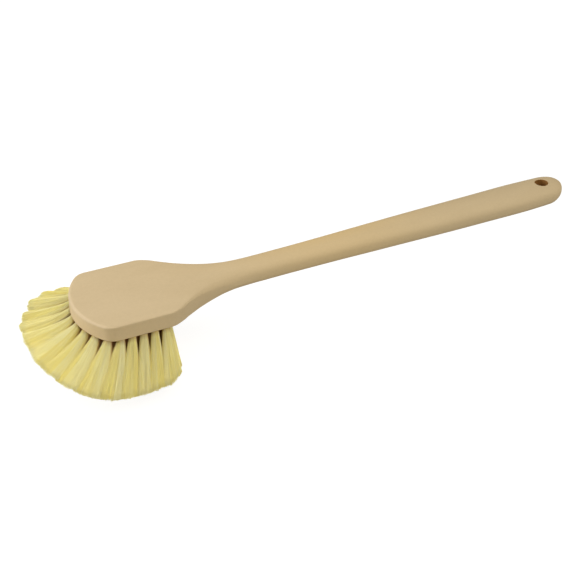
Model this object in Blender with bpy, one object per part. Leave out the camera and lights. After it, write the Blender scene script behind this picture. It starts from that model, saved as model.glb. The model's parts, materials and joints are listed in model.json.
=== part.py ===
"""Long-handled utility brush: a one-piece moulded block and handle, with a
fan of bristle tufts set in blind holes in the underside of the block.

Run it with  blender --background --python part.py  or from the text editor.
Units are metres, +Z is up, +X runs from the block to the handle's end, and
the mid-plane of the brush is Y = 0. The origin is below the middle of the
brush, at the height of the lowest bristle tips.
"""

import math

import bmesh
import bpy
from mathutils import Vector

MM = 0.001

# ---- driving dimensions, in millimetres -------------------------------------
# The design frame has Z = 0 on the block's flat back, and the nose at NOSE_X.
NOSE_X = 0.8
HANDLE_END_X = 504.7  # the moulding is 504 mm long, a nominal 20 inches
BLOCK_HALF_WIDTH = 45.8
BLOCK_THICKNESS = 14.0
NOSE_RADIUS = 66.0  # plan radius of the blunt front
CORNER_RADIUS = 15.0  # plan radius between the front and the straight sides
SIDE_END = 72.0  # where the straight sides start to turn in to the neck
SIDE_TOP_RADIUS, NOSE_TOP_RADIUS = 1.2, 2.8  # the upper edge is softest in front
BOTTOM_EDGE_RADIUS = 1.0

# Half widths of the neck and handle against X: neck at 165 to 190, palm swell
# at 450, and the rounded end starts at END_START.
WIDTHS = (
    (72.0, 45.8), (76.0, 44.9), (80.0, 43.1), (85.0, 40.3), (90.0, 36.6),
    (96.0, 32.7), (103.0, 28.7), (112.0, 24.6), (122.0, 20.9), (134.0, 17.5),
    (148.0, 15.1), (165.0, 14.0), (190.0, 14.0), (230.0, 14.7), (290.0, 16.5),
    (350.0, 18.0), (410.0, 19.0), (450.0, 19.7), (475.0, 18.8), (485.0, 18.3),
)
END_START = 485.0
END_PLAN_POWER = 2.1  # the end's plan is a little squarer than a half ellipse
END_LIFT = 3.3  # the tip is this far above the handle's middle height
# Height of the top surface on the mid-plane, and half the thickness, against X.
TOP_LINE = ((0.0, 0.0), (150.0, 0.0), (200.0, 0.7), (330.0, 3.4), (508.0, 6.8))
HALF_THICKNESS = (
    (0.0, 7.0), (80.0, 7.2), (100.0, 8.4), (120.0, 9.1), (160.0, 9.4), (230.0, 9.4),
    (300.0, 9.7), (400.0, 10.2), (475.0, 10.2), (508.0, 9.7),
)
OVAL_POWER = 2.6  # the handle's section is a slightly squared oval
BLEND_FROM, BLEND_TO = 76.0, 150.0  # block section turns into handle section

HANGING_HOLE_X = 483.3
HANGING_HOLE_RADIUS = 6.5

TUFT_HOLE_RADIUS = 3.0
TUFT_HOLE_DEPTH = 9.0
TUFT_ROOT_RADIUS = 2.55
TUFT_ROOT_DEPTH = 8.4
TUFT_TIP_RADIUS = 5.2
# Each row of tufts: name, distance inside the block's edge, X of its rear end,
# tufts from the nose to the rear corner, and how much of the full splay it has.
ROWS = (
    ("outer", 4.6, 67.3, 9, 1.0),
    ("second", 15.5, 58.5, 6, 0.62),
    ("third", 25.5, 48.0, 3, 0.34),
)
# The outer row has no tuft at the nose: it starts half a pitch to each side, with
# this many tufts round the nose at one pitch and the rest along the side at another.
NOSE_TUFTS, NOSE_PITCH, SIDE_PITCH = 4, 11.7, 9.7
OUTER_REAR_SET_BACK = 5.2  # the outer row across the rear, behind the side's last tuft
REAR_PITCH = 10.0
CENTRE_ROW_X = 37.2
CENTRE_LEAN = 4.0
# Full splay against the share of the way from the nose to the rear corner: how
# far a tuft leans from straight down, and which way, from straight ahead (0) to
# straight sideways (90). Both in degrees.
LEAN = (
    (0.0, 61.0), (0.06, 61.0), (0.19, 60.5), (0.32, 59.5), (0.45, 56.0), (0.57, 50.0),
    (0.68, 45.0), (0.79, 41.5), (0.89, 39.0), (1.0, 37.0),
)
DIRECTION = (
    (0.0, 0.0), (0.06, 13.0), (0.19, 26.5), (0.32, 37.0), (0.45, 47.0), (0.57, 57.0),
    (0.68, 64.0), (0.79, 68.0), (0.89, 71.0), (1.0, 74.0),
)
# Bristle length outside the block, about 2 inches, against the same share.
TRIM = ((0.0, 50.5), (0.06, 49.3), (0.19, 50.0), (0.45, 50.5), (0.62, 51.0), (0.79, 50.5), (1.0, 48.0))
REAR_TRIM, CENTRE_TRIM = 50.0, 51.0
# The row across the rear leans back, and sideways towards its ends.
REAR_REACH, REAR_SPREAD = 2.0, 7.0
ROOT_SHARE = 0.6  # the hole leans by this share of the whole tuft's lean
BEND_AT = 0.3  # and the bend is this share of the length from the hole


def clear_scene():
    for obj in list(bpy.data.objects):
        bpy.data.objects.remove(obj, do_unlink=True)


def collection(name):
    made = bpy.data.collections.new(name)
    bpy.context.scene.collection.children.link(made)
    return made


def plastic(name, color, roughness):
    material = bpy.data.materials.new(name)
    material.use_nodes = True
    shader = material.node_tree.nodes["Principled BSDF"]
    shader.inputs["Base Color"].default_value = (*color, 1.0)
    shader.inputs["Roughness"].default_value = roughness
    shader.inputs["Metallic"].default_value = 0.0
    material.diffuse_color = (*color, 1.0)
    return material


def smooth_table(table, x):
    """A monotone cubic through the table's points, so no width overshoots."""
    xs = [p[0] for p in table]
    ys = [p[1] for p in table]
    steps = [b - a for a, b in zip(xs, xs[1:])]
    rises = [(b - a) / h for a, b, h in zip(ys, ys[1:], steps)]
    slopes = [rises[0]]
    for k in range(1, len(xs) - 1):
        before, after = rises[k - 1], rises[k]
        if before * after <= 0:
            slopes.append(0.0)
            continue
        w1 = 2 * steps[k] + steps[k - 1]
        w2 = steps[k] + 2 * steps[k - 1]
        slopes.append((w1 + w2) / (w1 / before + w2 / after))
    slopes.append(rises[-1])
    x = min(max(x, xs[0]), xs[-1])
    k = max(i for i in range(len(steps)) if xs[i] <= x)
    h, t = steps[k], (x - xs[k]) / steps[k]
    return (
        ys[k] * (2 * t**3 - 3 * t**2 + 1)
        + h * slopes[k] * (t**3 - 2 * t**2 + t)
        + ys[k + 1] * (3 * t**2 - 2 * t**3)
        + h * slopes[k + 1] * (t**3 - t**2)
    )


def front_arcs():
    """X of the nose arc's centre, centre of the corner arc, and the angle where
    the two arcs meet."""
    nose = NOSE_X + NOSE_RADIUS
    cy = BLOCK_HALF_WIDTH - CORNER_RADIUS
    cx = nose - math.sqrt((NOSE_RADIUS - CORNER_RADIUS) ** 2 - cy**2)
    return nose, cx, cy, math.atan2(cy, nose - cx)


def evenly(first, last, count):
    """count values after first, up to and including last."""
    return [first + (last - first) * (k + 1) / count for k in range(count)]


def outline():
    """Half of the plan outline from nose to handle end: (x, half width, normal)."""
    nose, cx, cy, meet = front_arcs()
    points = []
    for a in [0.0] + evenly(0.0, meet, 8):
        points.append(
            (nose - NOSE_RADIUS * math.cos(a), NOSE_RADIUS * math.sin(a), (-math.cos(a), math.sin(a)))
        )
    for a in evenly(meet, math.pi / 2, 6):
        points.append(
            (cx - CORNER_RADIUS * math.cos(a), cy + CORNER_RADIUS * math.sin(a), (-math.cos(a), math.sin(a)))
        )
    along = evenly(cx, SIDE_END, 3) + evenly(SIDE_END, 100.0, 7)
    along += evenly(100.0, 165.0, 8) + evenly(165.0, END_START, 9)
    rear = [
        (x, BLOCK_HALF_WIDTH if x <= SIDE_END else smooth_table(WIDTHS, x)) for x in along
    ]
    end_width = rear[-1][1]
    for a in evenly(0.0, math.pi / 2, 9):
        share = min(math.sin(a), 1.0)
        across = (1 - share**END_PLAN_POWER) ** (1 / END_PLAN_POWER)
        rear.append((END_START + (HANDLE_END_X - END_START) * share, end_width * across))
    rear[-1] = (HANDLE_END_X, 0.0)
    for k, (x, w) in enumerate(rear):
        before = rear[k - 1] if k else points[-1][:2]
        after = rear[min(k + 1, len(rear) - 1)]
        dx, dy = after[0] - before[0], after[1] - before[1]
        size = math.hypot(dx, dy)
        points.append((x, w, (-dy / size, dx / size)))
    return points


def oval_heights(x):
    """Height of the widest line, and from it up to the top and down to the
    bottom. At the end the top stays flat longest and the tip is lifted."""
    half = smooth_table(HALF_THICKNESS, x)
    middle = smooth_table(TOP_LINE, x) - half
    if x <= END_START:
        return middle, half, half
    share = min((x - END_START) / (HANDLE_END_X - END_START), 1.0)
    widest = middle + END_LIFT * share**2
    above = END_LIFT * (1 - share**2) + (half - END_LIFT) * (1 - share**4) ** 0.25
    return widest, above, half * (1 - share**1.5) ** (1 / 1.5)


def half_section(x, width, normal):
    """Points of one section on the +Y side, from the top mid-line to the bottom."""
    nx, ny = normal
    top = smooth_table(TOP_LINE, x)
    bottom = top - 2 * smooth_table(HALF_THICKNESS, x)
    widest, above, below = oval_heights(x)
    edge = SIDE_TOP_RADIUS + (NOSE_TOP_RADIUS - SIDE_TOP_RADIUS) * max(-nx, 0.0) ** 2

    def inset(distance, across=1.0):
        return x - nx * distance, max(width - ny * distance, 0.0) * across

    block = []
    for k in range(4):  # flat back
        block.append((*inset(edge, k / 3), top))
    for a in evenly(0.0, math.pi / 2, 4):  # rounded upper edge
        block.append((*inset(edge * (1 - math.sin(a))), top - edge * (1 - math.cos(a))))
    for a in (0.0, math.pi / 4, math.pi / 2):  # wall and small lower edge
        block.append(
            (*inset(BOTTOM_EDGE_RADIUS * (1 - math.cos(a))), bottom + BOTTOM_EDGE_RADIUS * (1 - math.sin(a)))
        )
    for k in range(1, 4):  # underside
        block.append((*inset(BOTTOM_EDGE_RADIUS, 1 - k / 3), bottom))

    angles = [90.0] + evenly(90.0, 48.0, 3) + evenly(48.0, -48.0, 7) + evenly(-48.0, -90.0, 3)
    oval = []
    for degrees in angles:
        c, s = math.cos(math.radians(degrees)), math.sin(math.radians(degrees))
        y = width * abs(c) ** (2 / OVAL_POWER) if abs(degrees) < 89.9 else 0.0
        oval.append((x, y, widest + (above if s > 0 else -below) * abs(s) ** (2 / OVAL_POWER)))

    share = min(max((x - BLEND_FROM) / (BLEND_TO - BLEND_FROM), 0.0), 1.0)
    share = share * share * (3 - 2 * share)
    return [
        Vector(a).lerp(Vector(b), share) for a, b in zip(block, oval)
    ]


def block_and_handle(into, material):
    """A loft between unlike sections: flat-backed block, neck, oval handle."""
    mesh = bmesh.new()
    rings = []
    for x, width, normal in outline():
        half = half_section(x, width, normal)
        other = [Vector((p.x, -p.y, p.z)) for p in reversed(half[1:-1])]
        rings.append([mesh.verts.new(p * MM) for p in half + other])
    for ring, after in zip(rings, rings[1:]):
        count = len(ring)
        for k in range(count):
            j = (k + 1) % count
            mesh.faces.new((ring[k], ring[j], after[j], after[k]))
    # The nose and the handle's tip close where their sections shrink to nothing.
    bmesh.ops.remove_doubles(mesh, verts=mesh.verts, dist=0.00002)
    bmesh.ops.dissolve_degenerate(mesh, dist=0.00002, edges=mesh.edges)
    bmesh.ops.recalc_face_normals(mesh, faces=mesh.faces)
    if mesh.calc_volume(signed=True) < 0:
        bmesh.ops.reverse_faces(mesh, faces=mesh.faces)
    data = bpy.data.meshes.new("block_and_handle")
    mesh.to_mesh(data)
    mesh.free()
    data.materials.append(material)
    data.shade_smooth()
    data.set_sharp_from_angle(angle=math.radians(35))
    obj = bpy.data.objects.new("block_and_handle", data)
    into.objects.link(obj)
    return obj


def row_points(row, inset, rear_x, count):
    """(share of the way, x, y) of a row's tufts on the +Y side, along the outline
    moved in by inset, from the nose to the rear end of the straight side."""
    centre, cx, cy, meet = front_arcs()
    nose, corner = NOSE_RADIUS - inset, CORNER_RADIUS - inset
    if corner > 0:
        start = cx
    else:  # this far in, the nose arc meets the side directly
        corner = 0.0
        meet = math.asin((BLOCK_HALF_WIDTH - inset) / nose)
        start = centre - nose * math.cos(meet)
    on_nose = nose * meet
    on_corner = corner * (math.pi / 2 - meet)
    length = on_nose + on_corner + rear_x - start
    if row == "outer":
        places = [NOSE_PITCH * (k + 0.5) for k in range(NOSE_TUFTS)]
        places += [length - SIDE_PITCH * k for k in reversed(range(count - NOSE_TUFTS))]
    else:
        places = [length * k / count for k in range(count + 1)]
    found = []
    for s in places:
        if s <= on_nose:
            a = s / nose
            x, y = centre - nose * math.cos(a), nose * math.sin(a)
        elif s <= on_nose + on_corner:
            a = meet + (s - on_nose) / corner
            x, y = cx - corner * math.cos(a), cy + corner * math.sin(a)
        else:
            x, y = start + s - on_nose - on_corner, BLOCK_HALF_WIDTH - inset
        found.append((s / length, x, y))
    return found


def splay(share, amount):
    """Sideways reach of a tuft's tip in x and y, on the +Y side, and its length,
    for its share of the way along its row and its row's amount of the full splay."""
    lean = math.radians(smooth_table(LEAN, share) * amount)
    way = math.radians(smooth_table(DIRECTION, share))
    trim = smooth_table(TRIM, share)
    reach = trim * math.sin(lean)
    return -reach * math.cos(way), reach * math.sin(way), trim


def tuft_layout():
    """Every tuft: (name, x, y, sideways reach of its tip in x and y, length)."""
    found = []
    for row, inset, rear_x, count, amount in ROWS:
        side = row_points(row, inset, rear_x, count)
        first = 1 if row == "outer" else 0
        for k, (share, x, y) in enumerate(side, first):
            reach_x, reach_y, trim = splay(share, amount)
            if k == 0:
                found.append((f"tuft_{row}_nose", x, 0.0, reach_x, 0.0, trim))
                continue
            found.append((f"tuft_{row}_left_{k}", x, -y, reach_x, -reach_y, trim))
            found.append((f"tuft_{row}_right_{k}", x, y, reach_x, reach_y, trim))
        edge = side[-1][2]
        gaps = round(2 * edge / REAR_PITCH)
        if row == "outer":
            rear_x += OUTER_REAR_SET_BACK
        for k in range(1, gaps):
            across = 2 * k / gaps - 1
            reach_y = REAR_SPREAD * across * abs(across) * amount
            name = f"tuft_{row}_rear_{k}"
            found.append((name, rear_x, edge * across, REAR_REACH * amount, reach_y, REAR_TRIM))
    for k, side in enumerate((-1, 0, 1), 1):
        reach = CENTRE_TRIM * math.sin(math.radians(CENTRE_LEAN)) * side
        found.append((f"tuft_centre_{k}", CENTRE_ROW_X, REAR_PITCH * side, 0.0, reach, CENTRE_TRIM))
    return found


def tuft_route(x, y, reach_x, reach_y, trim):
    """Root point on the underside, the hole's direction out, and the curve from
    the root to the tip: a bunch leaves its hole and bends further out."""
    reach = math.hypot(reach_x, reach_y)
    lean = math.asin(reach / trim)
    side = Vector((reach_x, reach_y, 0.0)) / max(reach, 1e-9)
    out = side * math.sin(lean * ROOT_SHARE) - Vector((0, 0, math.cos(lean * ROOT_SHARE)))
    root = Vector((x, y, -BLOCK_THICKNESS))
    tip = root + Vector((reach_x, reach_y, -trim * math.cos(lean)))
    bend = root + out * trim * BEND_AT

    def at(t):
        return root * (1 - t) ** 2 + bend * 2 * t * (1 - t) + tip * t * t

    return root, out, at


def bristle_tuft(into, material, name, *place):
    """One bunch of bristles as a closed solid: round root, flared to the tip."""
    root, out, at = tuft_route(*place)
    stations = [
        (root - out * TUFT_ROOT_DEPTH, TUFT_ROOT_RADIUS),
        (at(0.08), TUFT_ROOT_RADIUS),
        (at(0.34), 3.1),
        (at(0.66), 4.2),
        (at(1.0), TUFT_TIP_RADIUS),
    ]
    curve = bpy.data.curves.new(name, "CURVE")
    curve.dimensions = "3D"
    curve.resolution_u = 1
    curve.bevel_depth = MM
    curve.bevel_resolution = 2
    curve.use_fill_caps = True
    spline = curve.splines.new("POLY")
    spline.points.add(len(stations) - 1)
    for point, (place, radius) in zip(spline.points, stations):
        point.co = (*(place * MM), 1.0)
        point.radius = radius
    spline.use_smooth = True
    curve.materials.append(material)
    obj = bpy.data.objects.new(name, curve)
    into.objects.link(obj)
    return obj


def round_cutter(mesh, start, end, radius, sides):
    """Adds one closed cylinder from start to end to a bmesh of cutters."""
    along = end - start
    made = bmesh.ops.create_cone(
        mesh, cap_ends=True, segments=sides, radius1=radius * MM, radius2=radius * MM,
        depth=along.length * MM,
    )
    turn = along.to_track_quat("Z", "Y").to_matrix().to_4x4()
    for v in made["verts"]:
        v.co = turn @ v.co + (start + end) / 2 * MM


def cut(body, into, name, add_shapes):
    mesh = bmesh.new()
    add_shapes(mesh)
    data = bpy.data.meshes.new(name)
    mesh.to_mesh(data)
    mesh.free()
    cutter = bpy.data.objects.new(name, data)
    cutter.hide_render = True
    cutter.display_type = "WIRE"
    into.objects.link(cutter)
    modifier = body.modifiers.new(name, "BOOLEAN")
    modifier.operation = "DIFFERENCE"
    modifier.object = cutter
    modifier.solver = "EXACT"
    return cutter


def main():
    clear_scene()
    bpy.context.scene.unit_settings.system = "METRIC"
    bpy.context.scene.unit_settings.scale_length = 1.0
    parts = collection("utility_brush")
    cutters = collection("cutters")
    cutters.hide_render = True

    foam = plastic("tan_foam_plastic", (0.63, 0.49, 0.285), 0.55)
    cream = plastic("cream_bristle", (0.74, 0.64, 0.27), 0.45)

    base = bpy.data.objects.new("utility_brush_origin", None)
    base.empty_display_size = 0.05
    parts.objects.link(base)

    body = block_and_handle(parts, foam)
    tufts = tuft_layout()

    def tuft_holes(mesh):
        for _, *place in tufts:
            root, out, _ = tuft_route(*place)
            round_cutter(mesh, root - out * TUFT_HOLE_DEPTH, root + out * 5.0, TUFT_HOLE_RADIUS, 12)

    def hanging_hole(mesh):
        round_cutter(
            mesh, Vector((HANGING_HOLE_X, 0, -30)), Vector((HANGING_HOLE_X, 0, 25)),
            HANGING_HOLE_RADIUS, 24,
        )

    members = [
        body,
        cut(body, cutters, "tuft_holes", tuft_holes),
        cut(body, cutters, "hanging_hole", hanging_hole),
    ]
    lowest, nose_reach = 0.0, 0.0
    for name, *place in tufts:
        members.append(bristle_tuft(parts, cream, name, *place))
        at = tuft_route(*place)[2]
        tip, back = at(1.0), at(0.66)
        lean = (tip - back).normalized()
        lowest = min(lowest, tip.z - TUFT_TIP_RADIUS * math.sqrt(max(1 - lean.z**2, 0.0)))
        nose_reach = min(nose_reach, tip.x - TUFT_TIP_RADIUS * math.sqrt(max(1 - lean.x**2, 0.0)))

    # The origin goes below the middle of the brush, at the lowest bristle tips.
    middle = (nose_reach + HANDLE_END_X) / 2
    for obj in members:
        obj.parent = base
    base.location = Vector((-middle, 0.0, -lowest)) * MM
    print(f"design frame origin at {-middle:.3f}, 0, {-lowest:.3f} mm")


main()
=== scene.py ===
"""The looks of the utility brush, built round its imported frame: a finely rounded
one-piece moulding, and a bunch of separate filaments in each hole of the block."""

import json
import math

import bmesh
import bpy
import numpy as np
from mathutils import Matrix, Vector

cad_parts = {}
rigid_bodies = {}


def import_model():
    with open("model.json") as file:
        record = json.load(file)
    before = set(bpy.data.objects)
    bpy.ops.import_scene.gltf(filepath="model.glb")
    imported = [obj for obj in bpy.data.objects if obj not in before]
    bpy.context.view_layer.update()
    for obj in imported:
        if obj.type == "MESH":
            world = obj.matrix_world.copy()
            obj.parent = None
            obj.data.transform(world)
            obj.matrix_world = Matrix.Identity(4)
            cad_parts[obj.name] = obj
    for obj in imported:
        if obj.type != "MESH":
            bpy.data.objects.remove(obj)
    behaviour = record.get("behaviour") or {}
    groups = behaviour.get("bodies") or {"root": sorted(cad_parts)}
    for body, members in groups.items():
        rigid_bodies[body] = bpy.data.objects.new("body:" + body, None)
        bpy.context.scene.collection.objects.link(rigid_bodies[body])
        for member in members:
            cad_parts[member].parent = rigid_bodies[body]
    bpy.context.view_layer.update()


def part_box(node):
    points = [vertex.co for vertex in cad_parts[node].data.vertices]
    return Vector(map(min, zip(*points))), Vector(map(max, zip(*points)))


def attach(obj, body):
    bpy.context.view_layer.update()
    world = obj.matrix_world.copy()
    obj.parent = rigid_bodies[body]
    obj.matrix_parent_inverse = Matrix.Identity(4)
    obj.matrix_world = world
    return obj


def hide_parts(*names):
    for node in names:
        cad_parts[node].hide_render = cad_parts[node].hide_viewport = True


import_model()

MM = 0.001
SEED = 20

# ---- the object's dimensions, as in its CAD ----------------------------------
# The design frame, in millimetres, has Z = 0 on the block's flat back, the nose
# at NOSE_X and the mid-plane at Y = 0. The frame's own box gives the shift.
NOSE_X = 0.8
HANDLE_END_X = 504.7
BLOCK_HALF_WIDTH = 45.8
BLOCK_THICKNESS = 14.0
NOSE_RADIUS = 66.0
CORNER_RADIUS = 15.0
SIDE_END = 72.0
SIDE_TOP_RADIUS, NOSE_TOP_RADIUS = 1.2, 2.8
BOTTOM_EDGE_RADIUS = 1.0
WIDTHS = (
    (72.0, 45.8), (76.0, 44.9), (80.0, 43.1), (85.0, 40.3), (90.0, 36.6),
    (96.0, 32.7), (103.0, 28.7), (112.0, 24.6), (122.0, 20.9), (134.0, 17.5),
    (148.0, 15.1), (165.0, 14.0), (190.0, 14.0), (230.0, 14.7), (290.0, 16.5),
    (350.0, 18.0), (410.0, 19.0), (450.0, 19.7), (475.0, 18.8), (485.0, 18.3),
)
END_START = 485.0
END_PLAN_POWER = 2.1
END_LIFT = 3.3
TOP_LINE = ((0.0, 0.0), (150.0, 0.0), (200.0, 0.7), (330.0, 3.4), (508.0, 6.8))
HALF_THICKNESS = (
    (0.0, 7.0), (80.0, 7.2), (100.0, 8.4), (120.0, 9.1), (160.0, 9.4), (230.0, 9.4),
    (300.0, 9.7), (400.0, 10.2), (475.0, 10.2), (508.0, 9.7),
)
OVAL_POWER = 2.6
BLEND_FROM, BLEND_TO = 76.0, 150.0
HANGING_HOLE_X = 483.3
HANGING_HOLE_RADIUS = 6.5
HANGING_HOLE_EDGE = 0.6
TUFT_HOLE_RADIUS = 3.0
TUFT_HOLE_DEPTH = 9.0
ROWS = (
    ("outer", 4.6, 67.3, 9, 1.0),
    ("second", 15.5, 58.5, 6, 0.62),
    ("third", 25.5, 48.0, 3, 0.34),
)
NOSE_TUFTS, NOSE_PITCH, SIDE_PITCH = 4, 11.7, 9.7
OUTER_REAR_SET_BACK = 5.2
REAR_PITCH = 10.0
CENTRE_ROW_X = 37.2
CENTRE_LEAN = 4.0
LEAN = (
    (0.0, 61.0), (0.06, 61.0), (0.19, 60.5), (0.32, 59.5), (0.45, 56.0), (0.57, 50.0),
    (0.68, 45.0), (0.79, 41.5), (0.89, 39.0), (1.0, 37.0),
)
DIRECTION = (
    (0.0, 0.0), (0.06, 13.0), (0.19, 26.5), (0.32, 37.0), (0.45, 47.0), (0.57, 57.0),
    (0.68, 64.0), (0.79, 68.0), (0.89, 71.0), (1.0, 74.0),
)
TRIM = ((0.0, 50.5), (0.06, 49.3), (0.19, 50.0), (0.45, 50.5), (0.62, 51.0), (0.79, 50.5), (1.0, 48.0))
REAR_TRIM, CENTRE_TRIM = 50.0, 51.0
REAR_REACH, REAR_SPREAD = 2.0, 7.0
ROOT_SHARE = 0.6
BEND_AT = 0.3
# On the far (+Y) side the bunches have settled: at this share of the way along the
# row they lean this much more and point this much further ahead, in degrees.
SETTLED_AT, SETTLED_OVER, SETTLED_LEAN, SETTLED_TURN = 0.774, 0.431, 16.5, -6.5
LONGER = {1: (0.40, 0.32, 4.5), -1: (0.58, 0.36, 2.0)}  # side: share, over, length

body_low, body_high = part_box("block_and_handle")
SHIFT = np.array([body_low.x / MM - NOSE_X, 0.0, 0.0])  # set_height() gives the third


def smooth_table(table, x):
    """A monotone cubic through the table's points, for one value or an array."""
    xs = np.array([p[0] for p in table])
    ys = np.array([p[1] for p in table])
    x = np.clip(np.asarray(x, float), xs[0], xs[-1])
    steps = np.diff(xs)
    rises = np.diff(ys) / steps
    slopes = np.zeros(len(xs))
    slopes[0], slopes[-1] = rises[0], rises[-1]
    for k in range(1, len(xs) - 1):
        before, after = rises[k - 1], rises[k]
        if before * after > 0:
            w1 = 2 * steps[k] + steps[k - 1]
            w2 = steps[k] + 2 * steps[k - 1]
            slopes[k] = (w1 + w2) / (w1 / before + w2 / after)
    k = np.clip(np.searchsorted(xs, x, side="right") - 1, 0, len(steps) - 1)
    h, t = steps[k], (x - xs[k]) / steps[k]
    return (
        ys[k] * (2 * t**3 - 3 * t**2 + 1)
        + h * slopes[k] * (t**3 - 2 * t**2 + t)
        + ys[k + 1] * (3 * t**2 - 2 * t**3)
        + h * slopes[k + 1] * (t**3 - t**2)
    )


def camera():
    """The photograph's viewpoint: a long lens, 27 degrees round from the side."""
    focal, azimuth, elevation, roll, distance = 1100.0, 27.3, 33.3, 0.9, 1013.0
    target = np.array([204.7, 0.0, -42.85])
    a, e, r = (math.radians(v) for v in (azimuth, elevation, roll))
    back = np.array([-math.sin(a) * math.cos(e), -math.cos(a) * math.cos(e), math.sin(e)])
    right = np.array([math.cos(a), -math.sin(a), 0.0])
    up = np.cross(back, right)
    across = right * math.cos(r) + up * math.sin(r)
    upright = -right * math.sin(r) + up * math.cos(r)
    place = to_row(target + back * distance)
    data = bpy.data.cameras.new("camera")
    data.sensor_fit = "HORIZONTAL"
    data.sensor_width = 36.0
    data.lens = focal / 580.0 * 36.0
    data.shift_x = -0.5 / 580.0
    data.shift_y = 0.5 / 580.0
    data.clip_start, data.clip_end = 0.05, 50.0
    obj = bpy.data.objects.new("camera", data)
    bpy.context.scene.collection.objects.link(obj)
    matrix = Matrix.Identity(4)
    for k, axis in enumerate((across, upright, back)):
        for j in range(3):
            matrix[j][k] = axis[j]
    matrix.translation = Vector(place)
    obj.matrix_world = matrix
    bpy.context.scene.camera = obj


def to_row(points):
    """Design millimetres to the row frame's metres."""
    return (np.asarray(points, float) + SHIFT) * MM


# ---- the block and handle -------------------------------------------------------


def end_share(x):
    return np.clip((np.asarray(x, float) - END_START) / (HANDLE_END_X - END_START), 0, 1)


def half_width(x):
    """Half width in plan behind the block's front."""
    across = np.maximum(1 - end_share(x) ** END_PLAN_POWER, 0) ** (1 / END_PLAN_POWER)
    return smooth_table(WIDTHS, x) * across


def oval_heights(x):
    """Height of the widest line, and from it up to the top and down to the
    bottom. At the end the top stays flat longest and the tip is lifted."""
    half = smooth_table(HALF_THICKNESS, x)
    middle = smooth_table(TOP_LINE, x) - half
    share = end_share(x)
    widest = middle + END_LIFT * share**2
    above = END_LIFT * (1 - share**2) + (half - END_LIFT) * (1 - share**4) ** 0.25
    above = np.where(share > 0, above, half)
    return widest, above, half * (1 - share**1.5) ** (1 / 1.5)


def oval_surface(x, y, side):
    """Height of the handle's upper (side 1) or lower (side -1) surface."""
    w = np.maximum(half_width(x), 1e-6)
    arch = np.maximum(1 - np.clip(np.abs(y) / w, 0, 1) ** OVAL_POWER, 0) ** (1 / OVAL_POWER)
    widest, above, below = oval_heights(x)
    return widest + (above if side > 0 else -below) * arch


def evenly(first, last, count):
    return [first + (last - first) * (k + 1) / count for k in range(count)]


def front_arcs():
    """X of the nose arc's centre, centre of the corner arc, and the angle where
    the two arcs meet."""
    nose = NOSE_X + NOSE_RADIUS
    cy = BLOCK_HALF_WIDTH - CORNER_RADIUS
    cx = nose - math.sqrt((NOSE_RADIUS - CORNER_RADIUS) ** 2 - cy**2)
    return nose, cx, cy, math.atan2(cy, nose - cx)


PLATEAU, EDGE, WALL, LOWER = 12, 9, 5, 5
HOLE_FROM, HOLE_TO = HANGING_HOLE_X - 11.5, HANGING_HOLE_X + 11.5


def outline():
    """Half of the plan outline as rows of x, half width, normal x, normal y."""
    nose, cx, cy, meet = front_arcs()
    rows = [
        (nose - NOSE_RADIUS * math.cos(a), NOSE_RADIUS * math.sin(a), -math.cos(a), math.sin(a))
        for a in [0.0] + evenly(0.0, meet, 26)
    ]
    rows += [
        (cx - CORNER_RADIUS * math.cos(a), cy + CORNER_RADIUS * math.sin(a), -math.cos(a), math.sin(a))
        for a in evenly(meet, math.pi / 2, 14)
    ]
    along = evenly(cx, SIDE_END, 10) + evenly(SIDE_END, 100.0, 18) + evenly(100.0, 165.0, 26)
    along += evenly(165.0, HOLE_FROM, 64) + evenly(HOLE_FROM, HOLE_TO, 16)
    start = math.asin((HOLE_TO - END_START) / (HANDLE_END_X - END_START))
    along += [
        END_START + (HANDLE_END_X - END_START) * math.sin(a)
        for a in evenly(start, math.pi / 2, 18)
    ]
    along[-1] = HANDLE_END_X
    x = np.array(along)
    w = np.where(x <= SIDE_END, BLOCK_HALF_WIDTH, half_width(x))
    w[-1] = 0.0
    before = np.vstack([rows[-1][:2], np.stack([x[:-1], w[:-1]], 1)])
    after = np.vstack([np.stack([x[1:], w[1:]], 1), [HANDLE_END_X, 0.0]])
    d = after - before
    d /= np.linalg.norm(d, axis=1, keepdims=True)
    return np.vstack([rows, np.stack([x, w, -d[:, 1], d[:, 0]], 1)])


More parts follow.
